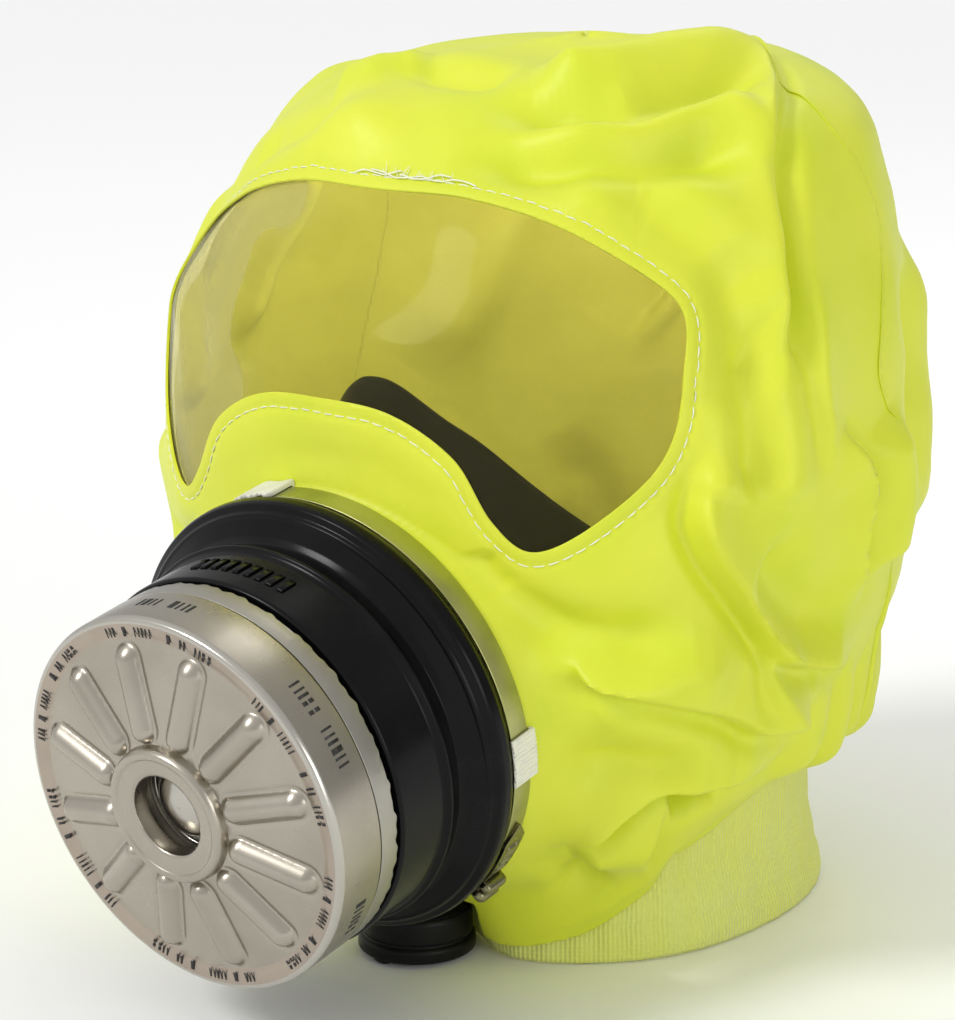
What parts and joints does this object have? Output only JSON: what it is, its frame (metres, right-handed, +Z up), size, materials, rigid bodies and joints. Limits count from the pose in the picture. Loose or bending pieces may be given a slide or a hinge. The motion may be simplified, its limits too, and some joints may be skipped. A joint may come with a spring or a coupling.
{
  "type": "smoke hood",
  "caption": "Escape smoke hood: coated fabric hood with clear visor, knitted neck seal, inner half mask, plug-in round filter canister and exhalation valve.",
  "frame": {"origin": "middle of the neck opening, at the lower edge of the neck seal", "axes": "+Z up towards the crown, -Y the way the visor looks, X across the head"},
  "size_m": [0.2248, 0.2838, 0.2684],
  "materials": {
    "hood_fabric": "fluorescent yellow-green coated woven fabric, soft sheen",
    "visor_film": "clear flexible film, glossy, faintly yellow",
    "sealing_tape": "thin welded tape",
    "neck_knit": "fine rib knit, matt",
    "elastic": "woven elastic",
    "band_steel": "brushed strip",
    "woven_tape": "white woven tape",
    "black_rubber": "smooth moulded rubber, satin",
    "mask_rubber": "matt soft rubber",
    "valve_rubber": "soft silicone",
    "black_plastic": "moulded plastic, satin",
    "strap_plastic": "moulded plastic",
    "canister_aluminium": "satin drawn sheet",
    "label_film": "frosted film",
    "screen_metal": "perforated sheet",
    "filter_paper": "glass-fibre paper",
    "sealant": "cast sealing compound",
    "carbon": "granular bed"
  },
  "bodies": {
    "hood": {"hood_front_panel": "hood_fabric", "hood_rear_panel": "hood_fabric", "hood_crown_seam": "hood_fabric", "visor": "visor_film", "visor_seam_tape": "sealing_tape", "neck_seal": "neck_knit", "neck_elastic": "elastic", "head_strap": "elastic", "clamp_band": "band_steel", "clamp_buckle": "band_steel", "band_loop_upper": "woven_tape", "band_loop_side": "woven_tape", "filter_holder": "black_rubber", "half_mask": "mask_rubber", "connector_body": "black_plastic", "inhalation_valve_seat": "black_plastic", "exhalation_valve_seat": "black_plastic", "mask_clamp_ring": "black_plastic", "strap_clip_left": "strap_plastic", "strap_clip_right": "strap_plastic"},
    "canister": {"canister_cover": "canister_aluminium", "canister_body": "canister_aluminium", "canister_seal_film": "label_film", "inlet_baffle": "canister_aluminium", "front_screen": "screen_metal", "particle_filter": "filter_paper", "particle_filter_ring": "sealant", "middle_screen": "screen_metal", "carbon_bed": "carbon", "dust_pad": "filter_paper", "rear_screen": "screen_metal", "outlet_gasket": "black_rubber"},
    "inhalation_disc": {"inhalation_valve_disc": "valve_rubber"},
    "exhalation_disc": {"exhalation_valve_disc": "valve_rubber"},
    "exhalation_cover": {"exhalation_valve_cover": "black_plastic"},
    "slider_left": {"strap_slider_left": "strap_plastic"},
    "slider_right": {"strap_slider_right": "strap_plastic"}
  },
  "joints": [
    {"name": "filter_pull", "type": "slide", "parent": "hood", "child": "canister", "axis": [0, -0.9823, -0.1874], "range_m": [0, 0.04]},
    {"name": "inhalation_disc_lift", "type": "slide", "parent": "hood", "child": "inhalation_disc", "axis": [0, 0.9823, 0.1874], "range_m": [0, 0.0015], "stiffness_N_per_m": 60, "springref_m": -0.0004},
    {"name": "exhalation_disc_drop", "type": "slide", "parent": "hood", "child": "exhalation_disc", "axis": [0, 0, -1], "range_m": [0, 0.0015], "stiffness_N_per_m": 60, "springref_m": -0.0004},
    {"name": "exhalation_cover_pull", "type": "slide", "parent": "hood", "child": "exhalation_cover", "axis": [0, 0, -1], "range_m": [0, 0.014]},
    {"name": "slider_left_adjust", "type": "slide", "parent": "hood", "child": "slider_left", "axis": [-0.4211, 0.907, 0], "range_m": [-0.012, 0.012]},
    {"name": "slider_right_adjust", "type": "slide", "parent": "hood", "child": "slider_right", "axis": [0.4211, 0.907, 0], "range_m": [-0.012, 0.012]}
  ]
}
